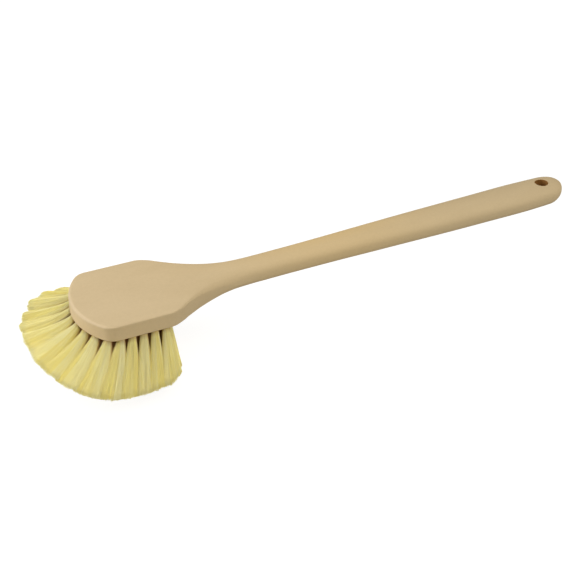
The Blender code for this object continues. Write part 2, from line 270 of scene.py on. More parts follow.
def half_section(x, width, nx, ny):
    """Points of one section on the +Y side, from the top mid-line to the bottom."""
    top = float(smooth_table(TOP_LINE, x))
    half = float(smooth_table(HALF_THICKNESS, x))
    bottom = top - 2 * half

    def inset(distance, across, height):
        return (x - nx * distance, max(width - ny * distance, 0.0) * across, height)

    edge = SIDE_TOP_RADIUS + (NOSE_TOP_RADIUS - SIDE_TOP_RADIUS) * max(-nx, 0.0) ** 2
    block = [inset(edge, k / PLATEAU, top) for k in range(PLATEAU + 1)]
    for a in evenly(0.0, math.pi / 2, EDGE):
        block.append(inset(edge * (1 - math.sin(a)), 1.0, top - edge * (1 - math.cos(a))))
    upper, lower = top - edge, bottom + BOTTOM_EDGE_RADIUS
    for k in range(1, WALL + 1):
        block.append(inset(0.0, 1.0, upper + (lower - upper) * k / WALL))
    for a in evenly(0.0, math.pi / 2, LOWER):
        block.append(
            inset(BOTTOM_EDGE_RADIUS * (1 - math.cos(a)), 1.0, bottom + BOTTOM_EDGE_RADIUS * (1 - math.sin(a)))
        )
    block += [inset(BOTTOM_EDGE_RADIUS, 1 - k / PLATEAU, bottom) for k in range(1, PLATEAU + 1)]

    side = EDGE + WALL + LOWER
    angles = [90.0] + evenly(90.0, 46.0, PLATEAU) + evenly(46.0, -46.0, side) + evenly(-46.0, -90.0, PLATEAU)
    c, s = np.cos(np.radians(angles)), np.sin(np.radians(angles))
    y = width * np.abs(c) ** (2 / OVAL_POWER)
    y[0] = y[-1] = 0.0
    widest, above, below = (float(v) for v in oval_heights(x))
    z = widest + np.where(s > 0, above, -below) * np.abs(s) ** (2 / OVAL_POWER)
    oval = np.stack([np.full(len(y), x), y, z], 1)
    share = min(max((x - BLEND_FROM) / (BLEND_TO - BLEND_FROM), 0.0), 1.0)
    share = share * share * (3 - 2 * share)
    return np.array(block) * (1 - share) + oval * share


def moulding_mesh():
    """The loft of the block and handle, with the hanging hole's rounded rims
    and wall set into its grid, as vertices and faces in the design frame."""
    rows = outline()
    half = np.array([half_section(*row) for row in rows])
    other = half[:, 1:-1][:, ::-1] * [1, -1, 1]
    rings = np.concatenate([half, other], axis=1)
    stations, count = rings.shape[:2]
    points = [tuple(p) for p in rings.reshape(-1, 3)]

    def at(i, j):
        return i * count + j % count

    first = int(np.argmin(np.abs(rows[:, 0] - HOLE_FROM) + (rows[:, 0] < 200) * 1e3))
    last = int(np.argmin(np.abs(rows[:, 0] - HOLE_TO)))
    reach = 9  # plateau points each side of the mid-line that the rim takes up
    low_middle = len(half[0]) - 1
    faces = []
    for i in range(stations - 1):
        for j in range(count):
            near_top = (j < reach or j >= count - reach) and first <= i < last
            near_low = low_middle - reach <= j < low_middle + reach and first <= i < last
            if not (near_top or near_low):
                faces.append((at(i, j), at(i, j + 1), at(i + 1, j + 1), at(i + 1, j)))

    def loop(middle, direction):
        """The grid's edge round the removed faces, the same way round on both sides."""
        found = [(first, k) for k in range(-reach, reach)]
        found += [(i, reach) for i in range(first, last)]
        found += [(last, k) for k in range(reach, -reach, -1)]
        found += [(i, -reach) for i in range(last, first, -1)]
        return [at(i, middle + direction * k) for i, k in found]

    hole, edge = HANGING_HOLE_RADIUS, HANGING_HOLE_EDGE
    walls = []
    for side, middle, direction in ((1, 0, 1), (-1, low_middle, -1)):
        outer = loop(middle, direction)
        xy = np.array([points[k][:2] for k in outer])
        away = xy - [HANGING_HOLE_X, 0.0]
        turn = away / np.linalg.norm(away, axis=1, keepdims=True)
        ring = list(outer)
        rims = []
        for share in (0.35, 0.7):  # from the grid in towards the rim
            p = xy * (1 - share) + ([HANGING_HOLE_X, 0.0] + turn * (hole + edge)) * share
            rims.append(np.column_stack([p, oval_surface(p[:, 0], p[:, 1], side)]))
        for a in np.radians([90, 75, 60, 45, 30, 15, 0]):
            p = [HANGING_HOLE_X, 0.0] + turn * (hole + edge * (1 - math.cos(a)))
            drop = edge * (1 - math.sin(a))
            rims.append(np.column_stack([p, oval_surface(p[:, 0], p[:, 1], side) - side * drop]))
        for rim in rims:
            begin = len(points)
            points.extend(tuple(p) for p in rim)
            inner = list(range(begin, begin + len(rim)))
            for k in range(len(ring)):
                n = (k + 1) % len(ring)
                quad = (ring[k], ring[n], inner[n], inner[k])
                faces.append(quad if side > 0 else quad[::-1])
            ring = inner
        walls.append(ring)
    upper, lower = walls
    ring = upper
    high = np.array([points[k] for k in upper])
    low = np.array([points[k] for k in lower])
    for k in range(1, 7):
        if k < 6:
            begin = len(points)
            points.extend(tuple(p) for p in high + (low - high) * k / 6)
            inner = list(range(begin, begin + len(upper)))
        else:
            inner = lower
        for m in range(len(ring)):
            n = (m + 1) % len(ring)
            faces.append((ring[m], ring[n], inner[n], inner[m]))
        ring = inner
    return np.array(points), faces


def mark_moulding(data):
    """Per-point marks for the material: painted shade down the hanging hole's wall, the neck's
    warmer tone and painted highlight, and painted shade on the underside between the tufts."""
    co = np.empty(len(data.vertices) * 3, dtype=np.float32)
    data.vertices.foreach_get("co", co)
    p = co.reshape(-1, 3).astype(float) / MM - SHIFT
    # Painted shade: a mask for the hanging hole's wall, which the material darkens.
    away = np.hypot(p[:, 0] - HANGING_HOLE_X, p[:, 1])
    hole_shade = np.clip((HANGING_HOLE_RADIUS + 0.45 - away) / 0.4, 0, 1)
    # The neck's warmer tone, with a painted highlight weighted towards its far (+Y) side.
    neck = np.exp(-(((p[:, 0] - 245.0) / 95.0) ** 2))
    neck = neck * (0.45 + 0.55 * np.clip((p[:, 1] + 5.0) / 18.0, 0, 1))
    # Painted shade: a mask for the underside between the tufts' roots, which the material darkens.
    sides = np.array([half_width(x) for x in np.clip(p[:, 0], NOSE_X, HANDLE_END_X)])
    within = sides - np.abs(p[:, 1])
    within = np.minimum(within, NOSE_RADIUS - np.hypot(p[:, 0] - NOSE_X - NOSE_RADIUS, p[:, 1]))
    within = np.where(p[:, 0] > NOSE_X + NOSE_RADIUS, sides - np.abs(p[:, 1]), within)
    within = np.minimum(within, SIDE_END + 5.0 - p[:, 0])
    root_gap_shade = np.clip((within - 1.6) / 3.0, 0, 1) * (p[:, 2] < -TUFT_HOLE_DEPTH * 0.5)
    root_gap_shade = root_gap_shade * (p[:, 0] < BLEND_FROM + 4.0)
    for name, value in (("hole_shade", hole_shade), ("neck", neck), ("root_gap_shade", root_gap_shade)):
        layer = data.attributes.new(name, "FLOAT", "POINT")
        layer.data.foreach_set("value", value.astype(np.float32))


def moulding(material, tufts):
    points, faces = moulding_mesh()
    mesh = bmesh.new()
    verts = [mesh.verts.new(p) for p in to_row(points)]
    for face in faces:
        mesh.faces.new([verts[k] for k in face])
    bmesh.ops.remove_doubles(mesh, verts=mesh.verts, dist=0.000005)
    bmesh.ops.dissolve_degenerate(mesh, dist=0.000005, edges=mesh.edges)
    bmesh.ops.recalc_face_normals(mesh, faces=mesh.faces)
    if mesh.calc_volume(signed=True) < 0:
        bmesh.ops.reverse_faces(mesh, faces=mesh.faces)
    data = bpy.data.meshes.new("moulding")
    mesh.to_mesh(data)
    mesh.free()
    data.materials.append(material)
    data.shade_smooth()
    obj = bpy.data.objects.new("block_and_handle_moulding", data)
    bpy.context.scene.collection.objects.link(obj)

    cutters = bmesh.new()
    for tuft in tufts:
        made = bmesh.ops.create_cone(
            cutters, cap_ends=True, segments=24, radius1=TUFT_HOLE_RADIUS * MM,
            radius2=TUFT_HOLE_RADIUS * MM, depth=(TUFT_HOLE_DEPTH + 5) * MM,
        )
        out = Vector(tuft["out"])
        turn = out.to_track_quat("Z", "Y").to_matrix().to_4x4()
        centre = Vector(to_row(tuft["root"])) + out * (5 - TUFT_HOLE_DEPTH) / 2 * MM
        for v in made["verts"]:
            v.co = turn @ v.co + centre
    cut_data = bpy.data.meshes.new("tuft_holes")
    cutters.to_mesh(cut_data)
    cutters.free()
    cutter = bpy.data.objects.new("tuft_holes", cut_data)
    bpy.context.scene.collection.objects.link(cutter)
    bpy.context.view_layer.update()
    modifier = obj.modifiers.new("tuft_holes", "BOOLEAN")
    modifier.operation = "DIFFERENCE"
    modifier.object = cutter
    modifier.solver = "EXACT"
    depsgraph = bpy.context.evaluated_depsgraph_get()
    cut = bpy.data.meshes.new_from_object(obj.evaluated_get(depsgraph))
    obj.modifiers.clear()
    obj.data = cut
    bpy.data.objects.remove(cutter)
    if not cut.materials:
        cut.materials.append(material)
    cut.shade_smooth()
    cut.set_sharp_from_angle(angle=math.radians(32))
    mark_moulding(cut)
    weighted = obj.modifiers.new("weighted_normals", "WEIGHTED_NORMAL")
    weighted.keep_sharp = True
    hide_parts("block_and_handle")
    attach(obj, "root")
    return obj


# ---- the bristles -----------------------------------------------------------------


def row_points(row, inset, rear_x, count):
    """(share of the way, x, y) of a row's tufts along the outline moved in by
    inset, on the +Y side."""
    centre, cx, cy, meet = front_arcs()
    nose, corner = NOSE_RADIUS - inset, CORNER_RADIUS - inset
    if corner > 0:
        start = cx
    else:
        corner = 0.0
        meet = math.asin((BLOCK_HALF_WIDTH - inset) / nose)
        start = centre - nose * math.cos(meet)
    on_nose = nose * meet
    on_corner = corner * (math.pi / 2 - meet)
    length = on_nose + on_corner + rear_x - start
    if row == "outer":
        places = [NOSE_PITCH * (k + 0.5) for k in range(NOSE_TUFTS)]
        places += [length - SIDE_PITCH * k for k in reversed(range(count - NOSE_TUFTS))]
    else:
        places = [length * k / count for k in range(count + 1)]
    found = []
    for s in places:
        if s <= on_nose:
            a = s / nose
            x, y = centre - nose * math.cos(a), nose * math.sin(a)
        elif s <= on_nose + on_corner:
            a = meet + (s - on_nose) / corner
            x, y = cx - corner * math.cos(a), cy + corner * math.sin(a)
        else:
            x, y = start + s - on_nose - on_corner, BLOCK_HALF_WIDTH - inset
        found.append((s / length, x, y))
    return found


def splay(share, amount, side):
    """Sideways reach of a tuft's tip in x and y, on the +Y or -Y side, and its
    length."""
    settled = max(1 - ((share - SETTLED_AT) / SETTLED_OVER) ** 2, 0.0) if side > 0 else 0.0
    lean = float(smooth_table(LEAN, share)) + SETTLED_LEAN * settled
    way = math.radians(float(smooth_table(DIRECTION, share)) + SETTLED_TURN * settled)
    trim = float(smooth_table(TRIM, share))
    middle, over, more = LONGER[side]
    trim += more * max(1 - ((share - middle) / over) ** 2, 0.0)
    reach = trim * math.sin(math.radians(lean * amount))
    return -reach * math.cos(way), side * reach * math.sin(way), trim


def tuft_layout():
    """Every tuft: its name, row, root on the underside, the hole's direction out,
    and the bend and tip of the curve that its middle filament follows."""
    found = []
    for row, inset, rear_x, count, amount in ROWS:
        side = row_points(row, inset, rear_x, count)
        first = 1 if row == "outer" else 0
        for k, (share, x, y) in enumerate(side, first):
            if k == 0:
                found.append(route(f"{row}_nose", row, x, 0.0, *splay(0.0, amount, 1)))
                continue
            found.append(route(f"{row}_left_{k}", row, x, -y, *splay(share, amount, -1)))
            found.append(route(f"{row}_right_{k}", row, x, y, *splay(share, amount, 1)))
        edge = side[-1][2]
        gaps = round(2 * edge / REAR_PITCH)
        if row == "outer":
            rear_x += OUTER_REAR_SET_BACK
        for k in range(1, gaps):
            across = 2 * k / gaps - 1
            reach_y = REAR_SPREAD * across * abs(across) * amount
            name = f"{row}_rear_{k}"
            found.append(route(name, row, rear_x, edge * across, REAR_REACH * amount, reach_y, REAR_TRIM))
    for k, side in enumerate((-1, 0, 1), 1):
        reach = CENTRE_TRIM * math.sin(math.radians(CENTRE_LEAN)) * side
        found.append(
            route(f"centre_{k}", "centre", CENTRE_ROW_X, REAR_PITCH * side, 0.0, reach, CENTRE_TRIM)
        )
    rng = np.random.default_rng(SEED + 900)
    for tuft in found:  # no two bunches on the far side stand quite alike
        if tuft["name"].startswith("outer_right"):
            tuft["tip"] = tuft["tip"] + rng.normal(size=3).clip(-1.4, 1.4) * UNEVEN
    for line, first_to, last_to in lines(found):  # bunches fan out towards their neighbours
        for k, tuft in enumerate(line):
            widest, tuft["thick"] = TIP_LIMITS[tuft["row"]]
            if "outer_rear" in tuft["name"]:
                tuft["thick"] = REAR_THICK
            beside = [
                line[k - 1] if k > 0 else first_to,
                line[k + 1] if k < len(line) - 1 else last_to,
            ]
            ends = [t["tip"] - tuft["tip"] if t else None for t in beside]
            if ends[0] is None:
                ends[0] = -ends[1] * LAST_SHARE
            if ends[1] is None:
                ends[1] = -ends[0] * LAST_SHARE
            reach = []
            for end, other in zip(ends, beside):
                size = np.linalg.norm(end)
                share = FAN_SHARE
                if tuft["name"].startswith("outer_right"):
                    share += rng.uniform(-0.10, 0.04)
                if other and {tuft["name"], other["name"]} == SPLIT:
                    share = 0.47
                reach.append(end / size * min(max(share * size, tuft["thick"]), widest))
            tuft["before"], tuft["after"] = reach
            level = np.cross(tuft["side"], [0.0, 0.0, 1.0])
            tuft["level"] = level / np.linalg.norm(level)
            same = np.dot(level, tuft["after"] - tuft["before"]) > 0
            tuft["across"] = tuft["level"] if same else -tuft["level"]
    return found


def lines(found):
    """The rows of tufts, each in order along it, and the tufts of other rows that
    its first and last bunches spread towards."""
    named = {tuft["name"]: tuft for tuft in found}
    result = []
    for row in ("outer", "second", "third"):
        left = [t for t in found if t["name"].startswith(f"{row}_left")]
        right = [t for t in found if t["name"].startswith(f"{row}_right")]
        nose = [named[f"{row}_nose"]] if f"{row}_nose" in named else []
        result.append((left[::-1] + nose + right, None, None))
        rear = [t for t in found if t["name"].startswith(f"{row}_rear")]
        result.append((rear, left[-1], right[-1]))
    result.append(([t for t in found if t["row"] == "centre"], None, None))
    return result


def route(name, row, x, y, reach_x, reach_y, trim):
    reach = math.hypot(reach_x, reach_y)
    lean = math.asin(reach / trim)
    side = np.array([reach_x, reach_y, 0.0]) / max(reach, 1e-9)
    out = side * math.sin(lean * ROOT_SHARE) - np.array([0, 0, math.cos(lean * ROOT_SHARE)])
    root = np.array([x, y, -BLOCK_THICKNESS])
    return {
        "name": name,
        "row": row,
        "root": root,
        "out": out,
        "trim": trim,
        "bend": root + out * trim * BEND_AT,
        "tip": root + [reach_x, reach_y, -trim * math.cos(lean)],
        "side": side if reach > 0.5 and "rear" not in name else np.array([1.0, 0.0, 0.0]),
    }


FILAMENT_SIDES = 4
FILAMENT_RINGS = 9
FILAMENT_RADIUS = 0.18
PER_TUFT = {"outer": 460, "second": 260, "third": 200, "centre": 200}
SURFACE_SHARE = 0.68  # of a bunch's filaments, those that lie at its surface
# Half width across the fan, at most, and half thickness of a bunch at its tip.
TIP_LIMITS = {"outer": (28.0, 5.8), "second": (14.0, 5.6), "third": (8.5, 6.2), "centre": (6.6, 6.0)}
FAN_SHARE = 0.74  # of the way to the next tip that a bunch spreads at its tip
LAST_SHARE, REAR_THICK = 1.3, 7.6
SPLIT = {"outer_right_3", "outer_right_4"}  # two bunches that stand apart
UNEVEN = np.array([0.9, 0.9, 0.5])
TRIM_TILT = 0.42  # the bunches are cut so that their outer filaments are longest
MOUTH_SPREAD = 2.62
WISPS = 15  # a bunch splits into this many loose strands towards its tip
CORE_SIDES, CORE_RINGS = 48, 12


def bunch_path(tuft, along, place):
    """Points at shares along the bunch, for filaments at places in its cross-section
    (towards its outer side, and towards the next bunch)."""
    root, out, bend, tip = (np.array(tuft[k]) for k in ("root", "out", "bend", "tip"))
    # The curve's own measure runs slowly near the root; this evens it out.
    even = 2 * BEND_AT
    t = (np.sqrt(even**2 + 4 * (1 - even) * np.maximum(along, 0)) - even) / (2 * (1 - even))
    t = t[..., None]
    middle = root * (1 - t) ** 2 + bend * 2 * t * (1 - t) + tip * t * t
    middle = middle + out * np.minimum(along, 0.0)[..., None] * tuft["trim"]
    tangent = (bend - root) * (1 - t) + (tip - bend) * t
    tangent /= np.linalg.norm(tangent, axis=-1, keepdims=True)
    first = np.cross(tuft["level"], tangent)
    first /= np.linalg.norm(first, axis=-1, keepdims=True)
    clear = np.clip(along, 0.0, 1.0)[..., None]
    thick = first * (MOUTH_SPREAD + (tuft["thick"] - MOUTH_SPREAD) * clear)
    share = place[..., 1][..., None]
    far = np.where(share > 0, tuft["after"] * share, -tuft["before"] * share)
    wide = tuft["across"] * share * MOUTH_SPREAD * (1 - clear) + far * clear
    return middle + thick * place[..., 0][..., None] + wide


def strands(rng):
    """Places, tones and lengths of the loose strands that a bunch divides into."""
    spots = rng.uniform(0, 6.28) + np.arange(WISPS) * 2.399963
    reach = np.sqrt((np.arange(WISPS) + 0.8) / WISPS)
    return (
        np.stack([reach * np.cos(spots), reach * np.sin(spots)], 1),
        rng.uniform(size=WISPS),
        0.012 * rng.normal(size=WISPS).clip(-1.8, 1.0),
    )


def root_shade_share(tuft, place):
    """How far filaments take on the painted shade of the brush's middle rows and of the outer bunches' inner
    sides.
    """
    if tuft["row"] != "outer":
        return np.full(place.shape[:-1], 0.85 if tuft["row"] == "second" else 1.0)
    return 0.85 * np.clip(0.52 - 0.9 * place[..., 0], 0, 1)


def trimmed(tuft, place):
    """How much shorter filaments are for the cut's tilt, and where the fan's rear
    corner is rounded."""
    tilt = TRIM_TILT if "left" in tuft["name"] or "right" in tuft["name"] else 0.0
    tilt = tilt * tuft["thick"] * (0.4 - place[..., 0]) / tuft["trim"]
    return tilt + 0.10 * np.clip(place[..., 1] * REAR_TURN.get(tuft["name"], 0.0), 0, 1)


REAR_TURN = {"outer_left_9": -1.0, "outer_right_9": 1.0}  # the way to the rear


def tuft_mesh(tuft, number):
    """Vertices, faces and per-vertex values of one bunch of filaments. Each one
    keeps its own place in the bunch, from the hole's mouth to a flared tip."""
    rng = np.random.default_rng(SEED + number)
    n = PER_TUFT[tuft["row"]]
    rim = int(n * SURFACE_SHARE)
    turn = np.concatenate([
        (np.arange(rim) + rng.uniform(-0.4, 0.4, rim)) / rim * 2 * math.pi,
        np.arange(n - rim) * 2.399963,
    ])
    radius = np.concatenate([
        1.0 + 0.022 * rng.normal(size=rim).clip(-2, 2),
        0.94 * np.sqrt((np.arange(n - rim) + 0.5) / (n - rim)),
    ])
    place = np.stack([radius * np.cos(turn), radius * np.sin(turn)], 1)

    # Strands: filaments near the same centre draw together a little.
    centres, strand_tone, strand_length = strands(rng)
    strand = np.argmin(((place[:, None] - centres[None]) ** 2).sum(-1), axis=1)
    strand_bow = rng.normal(size=(WISPS, 3))[strand] * 0.16

    s = np.concatenate([[-0.07], np.linspace(0.0, 1.0, FILAMENT_RINGS - 1)])
    length = 1.0 + strand_length[strand] + 0.006 * rng.normal(size=n).clip(-2, 1.5)
    length = length - trimmed(tuft, place)
    along = s[None, :] * length[:, None]
    clear = np.maximum(along, 0.0)
    path = bunch_path(tuft, along, place[:, None, :])
    # Each filament strays a little from its place, more so towards its tip.
    stray = rng.normal(size=(n, 3)).clip(-2.0, 2.0) * 0.20
    bow = rng.normal(size=(n, 3)).clip(-2.0, 2.0) * 0.08 + strand_bow
    path = path + stray[:, None, :] * (clear**1.6)[..., None]
    path = path + bow[:, None, :] * (np.sin(np.pi * np.clip(clear, 0, 1)))[..., None]
    path[..., 2] = np.maximum(path[..., 2], -SHIFT[2] + FILAMENT_RADIUS * 1.2)

    # Round cross-sections along each path.
    ahead = np.gradient(path, axis=1)
    ahead /= np.linalg.norm(ahead, axis=-1, keepdims=True)
    side = np.cross(ahead, tuft["across"])
    side /= np.linalg.norm(side, axis=-1, keepdims=True)
    up = np.cross(side, ahead)
    thickness = FILAMENT_RADIUS * (1 + 0.08 * rng.normal(size=n))[:, None]
    thickness = thickness * np.where(np.arange(len(s)) == len(s) - 1, 0.9, 1.0)[None, :]
    around = np.arange(FILAMENT_SIDES) / FILAMENT_SIDES * 2 * math.pi
    phase = rng.uniform(0, 6.28, size=n)
    angle = around[None, None, :] + phase[:, None, None]
    verts = (
        path[:, :, None, :]
        + side[:, :, None, :] * (np.cos(angle) * thickness[..., None])[..., None]
        + up[:, :, None, :] * (np.sin(angle) * thickness[..., None])[..., None]
    )
    rings, sides = len(s), FILAMENT_SIDES
    index = np.arange(n * rings * sides).reshape(n, rings, sides)
    nxt = np.roll(index, -1, axis=2)
    quads = np.stack(
        [index[:, :-1], nxt[:, :-1], nxt[:, 1:], index[:, 1:]], axis=-1
    ).reshape(-1, 4)
    caps = np.concatenate([index[:, -1], index[:, 0, ::-1]])
    tone = np.repeat(0.3 * rng.uniform(size=n) + 0.7 * strand_tone[strand], rings * sides)
    share = np.repeat(along.reshape(-1), sides)
    # Share of the painted root shade for each filament.
    depth = np.repeat(root_shade_share(tuft, place), rings * sides)
    return verts.reshape(-1, 3), quads, caps, tone, share, depth


def core_mesh(tuft, number):
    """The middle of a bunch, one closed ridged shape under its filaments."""
    centres, strand_tone, strand_length = strands(core_random(number))
    rng = np.random.default_rng(SEED + 500 + number)
    turn = np.arange(CORE_SIDES) / CORE_SIDES * 2 * math.pi
    place = np.stack([np.cos(turn), np.sin(turn)], 1)
    strand = np.argmin(((place[:, None] - centres[None]) ** 2).sum(-1), axis=1)
    ridge = 0.965 + 0.016 * rng.normal(size=CORE_SIDES).clip(-1.6, 1.6)
    s = np.concatenate([[-0.07], np.linspace(0.0, 0.975, CORE_RINGS - 1)])
    length = 1.0 + strand_length[strand] - trimmed(tuft, place)
    along = s[:, None] * length[None, :]
    verts = bunch_path(tuft, along, (place * ridge[:, None])[None, :, :])
    verts[..., 2] = np.maximum(verts[..., 2], -SHIFT[2] + 0.5)
    index = np.arange(CORE_RINGS * CORE_SIDES).reshape(CORE_RINGS, CORE_SIDES)
    nxt = np.roll(index, -1, axis=1)
    quads = np.stack([index[:-1], nxt[:-1], nxt[1:], index[1:]], axis=-1).reshape(-1, 4)
    points = np.concatenate([verts.reshape(-1, 3), [verts[0].mean(0), verts[-1].mean(0)]])
    low, high = len(points) - 2, len(points) - 1
    fans = [
        np.stack([np.full(CORE_SIDES, low), nxt[0], index[0]], axis=-1),
        np.stack([np.full(CORE_SIDES, high), index[-1], nxt[-1]], axis=-1),
    ]
    share = np.concatenate([along.reshape(-1), [along[0, 0], along[-1, 0]]])
    around = 0.3 * rng.uniform(size=CORE_SIDES) + 0.7 * strand_tone[strand]
    tone = np.concatenate([np.tile(around, CORE_RINGS), [0.3, 0.3]])
    # Share of the painted root shade round the core.
    depth = np.concatenate([np.tile(root_shade_share(tuft, place), CORE_RINGS), [0.9, 0.9]])
    return points, quads, np.concatenate(fans), tone, share, depth


def core_random(number):
    """The random numbers of tuft_mesh, run on to where it draws its strands."""
    rng = np.random.default_rng(SEED + number)
    n = PER_TUFT[TUFTS[number]["row"]]
    rim = int(n * SURFACE_SHARE)
    rng.uniform(-0.4, 0.4, rim)
    rng.normal(size=rim)
    return rng


def bristles(tuft, number, material):
    fine = tuft_mesh(tuft, number)
    core = core_mesh(tuft, number)
    begin = len(fine[0])
    verts = np.concatenate([fine[0], core[0]])
    groups = [fine[1], fine[2], core[1] + begin, core[2] + begin]
    data = bpy.data.meshes.new(f"bristles_{tuft['name']}")
    data.vertices.add(len(verts))
    data.vertices.foreach_set("co", to_row(verts).astype(np.float32).ravel())
    loops = np.concatenate([group.ravel() for group in groups])
    sizes = np.concatenate([np.full(len(group), group.shape[1]) for group in groups])
    data.loops.add(len(loops))
    data.loops.foreach_set("vertex_index", loops.astype(np.int32))
    data.polygons.add(len(sizes))
    data.polygons.foreach_set(
        "loop_start", np.concatenate([[0], np.cumsum(sizes)[:-1]]).astype(np.int32)
    )
    values = {
        "tone": np.concatenate([fine[3], core[3]]),
        "along": np.concatenate([fine[4], core[4]]),
        "depth": np.concatenate([fine[5], core[5]]),
    }
    for name, value in values.items():
        layer = data.attributes.new(name, "FLOAT", "POINT")
        layer.data.foreach_set("value", value.astype(np.float32))
    data.update(calc_edges=True)
    data.validate()
    smooth = np.ones(len(data.polygons), dtype=bool)
    smooth[len(fine[1]):len(fine[1]) + len(fine[2])] = False
    smooth[-len(core[2]):] = False
    data.polygons.foreach_set("use_smooth", smooth)
    data.materials.append(material)
    obj = bpy.data.objects.new(f"bristles_{tuft['name']}", data)
    bpy.context.scene.collection.objects.link(obj)
    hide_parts(f"tuft_{tuft['name']}")
    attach(obj, "root")
    return obj


# ---- materials -----------------------------------------------------------------------


def new_material(name):
    material = bpy.data.materials.new(name)
    material.use_nodes = True
    tree = material.node_tree
    return material, tree, tree.nodes["Principled BSDF"]


def node(tree, kind, **values):
    made = tree.nodes.new(kind)
    for key, value in values.items():
        if key in made.inputs:
            made.inputs[key].default_value = value
        else:
            setattr(made, key, value)
    return made


def foam_plastic():
    """Matte tan moulding: faint flow clouds, and a fine leathery micro-texture."""
    material, tree, shader = new_material("tan_structural_foam")
    link = tree.links.new
    place = node(tree, "ShaderNodeTexCoord")
    flow = node(tree, "ShaderNodeMapping")
    flow.inputs["Scale"].default_value = (9.0, 34.0, 34.0)
    link(place.outputs["Object"], flow.inputs["Vector"])
    clouds = node(tree, "ShaderNodeTexNoise", Scale=1.0, Detail=3.0, Roughness=0.55, Distortion=0.6)
    link(flow.outputs["Vector"], clouds.inputs["Vector"])
    specks = node(tree, "ShaderNodeTexNoise", Scale=420.0, Detail=3.0, Roughness=0.6)
    link(place.outputs["Object"], specks.inputs["Vector"])
    tint = node(tree, "ShaderNodeMix", data_type="RGBA")
    tint.inputs["A"].default_value = (0.628, 0.489, 0.298, 1)
    tint.inputs["B"].default_value = (0.662, 0.521, 0.324, 1)
    tint_share = node(tree, "ShaderNodeMapRange")
    tint_share.inputs["From Min"].default_value = 0.30
    tint_share.inputs["From Max"].default_value = 0.70
    link(clouds.outputs["Fac"], tint_share.inputs["Value"])
    link(tint_share.outputs["Result"], tint.inputs["Factor"])
    # The skin has fine pale and dark specks, a warmer tone in the neck with a painted
    # highlight towards its far side, and painted shade in the hanging hole and between the tufts' roots.
    speck_share = node(tree, "ShaderNodeMapRange")
    speck_share.inputs["From Min"].default_value = 0.35
    speck_share.inputs["From Max"].default_value = 0.65
    speck_share.inputs["To Min"].default_value = 0.985
    speck_share.inputs["To Max"].default_value = 1.015
    link(specks.outputs["Fac"], speck_share.inputs["Value"])
    grain = node(tree, "ShaderNodeMix", data_type="RGBA", blend_type="MULTIPLY")
    grain.inputs["Factor"].default_value = 1.0
    link(tint.outputs["Result"], grain.inputs["A"])
    link(speck_share.outputs["Result"], grain.inputs["B"])
    # A warmer tone along the neck, partly a painted highlight that lightens it towards its far (+Y) side.
    neck = node(tree, "ShaderNodeAttribute", attribute_name="neck")
    neck_tone_and_highlight = node(tree, "ShaderNodeMix", data_type="RGBA", blend_type="MULTIPLY")
    neck_tone_and_highlight.inputs["B"].default_value = (1.13, 1.055, 0.86, 1)
    link(neck.outputs["Fac"], neck_tone_and_highlight.inputs["Factor"])
    link(grain.outputs["Result"], neck_tone_and_highlight.inputs["A"])
    # Painted shade: the hanging hole's wall is darkened to a brown.
    hole_shade = node(tree, "ShaderNodeAttribute", attribute_name="hole_shade")
    hole_shaded = node(tree, "ShaderNodeMix", data_type="RGBA", blend_type="MULTIPLY")
    hole_shaded.inputs["B"].default_value = (0.50, 0.30, 0.12, 1)
    link(hole_shade.outputs["Fac"], hole_shaded.inputs["Factor"])
    link(neck_tone_and_highlight.outputs["Result"], hole_shaded.inputs["A"])
    # Painted shade: the underside between the tufts' roots is darkened to a dark red-brown.
    root_gap_shade = node(tree, "ShaderNodeAttribute", attribute_name="root_gap_shade")
    root_gap_shaded = node(tree, "ShaderNodeMix", data_type="RGBA", blend_type="MULTIPLY")
    root_gap_shaded.inputs["B"].default_value = (0.42, 0.16, 0.03, 1)
    link(root_gap_shade.outputs["Fac"], root_gap_shaded.inputs["Factor"])
    link(hole_shaded.outputs["Result"], root_gap_shaded.inputs["A"])
    link(root_gap_shaded.outputs["Result"], shader.inputs["Base Color"])
    rough = node(tree, "ShaderNodeMapRange")
    rough.inputs["To Min"].default_value = 0.58
    rough.inputs["To Max"].default_value = 0.66
    link(clouds.outputs["Fac"], rough.inputs["Value"])
    link(rough.outputs["Result"], shader.inputs["Roughness"])
    skin = node(tree, "ShaderNodeTexNoise", Scale=900.0, Detail=2.0, Roughness=0.5)
    link(place.outputs["Object"], skin.inputs["Vector"])
    wave = node(tree, "ShaderNodeTexNoise", Scale=70.0, Detail=1.0)
    link(place.outputs["Object"], wave.inputs["Vector"])
    fine = node(tree, "ShaderNodeBump", Strength=0.06, Distance=0.00012)
    broad = node(tree, "ShaderNodeBump", Strength=0.12, Distance=0.00025)
    link(skin.outputs["Fac"], fine.inputs["Height"])
    link(wave.outputs["Fac"], broad.inputs["Height"])
    link(broad.outputs["Normal"], fine.inputs["Normal"])
    link(fine.outputs["Normal"], shader.inputs["Normal"])
    shader.inputs["Specular IOR Level"].default_value = 0.22
    return material


